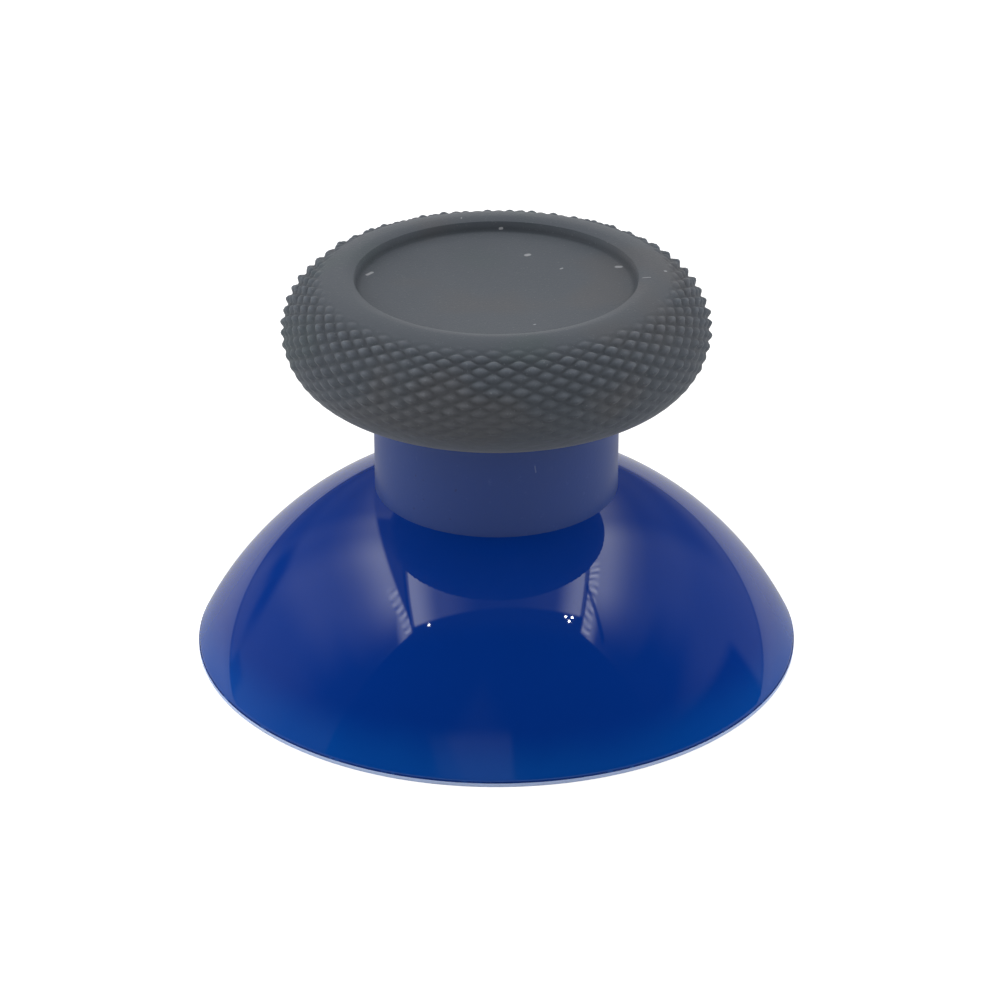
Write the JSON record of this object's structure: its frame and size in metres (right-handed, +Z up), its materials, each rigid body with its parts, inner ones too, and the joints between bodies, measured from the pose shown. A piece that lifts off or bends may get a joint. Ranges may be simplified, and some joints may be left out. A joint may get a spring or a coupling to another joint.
{
  "type": "controller thumb grip",
  "caption": "Thumb grip for a game controller stick: blue domed skirt and neck with a socket post inside, and a soft grey cap with a knurled rim and a dished thumb rest.",
  "frame": {"origin": "centre of the skirt's rim ring, on the plane that the grip stands on", "axes": "+Z up along the grip's axis, from the skirt's rim to the thumb rest; the socket's two flats face +Y and -Y"},
  "size_m": [0.022, 0.022, 0.0144],
  "materials": {
    "blue_plastic": "deep blue moulded plastic, glossy on the skirt and satin on the neck",
    "grey_rubber": "matt dark grey moulded rubber, with a diamond knurl round the rim"
  },
  "bodies": {
    "root": {"stem_body": "blue_plastic", "rubber_cap": "grey_rubber"}
  },
  "joints": []
}
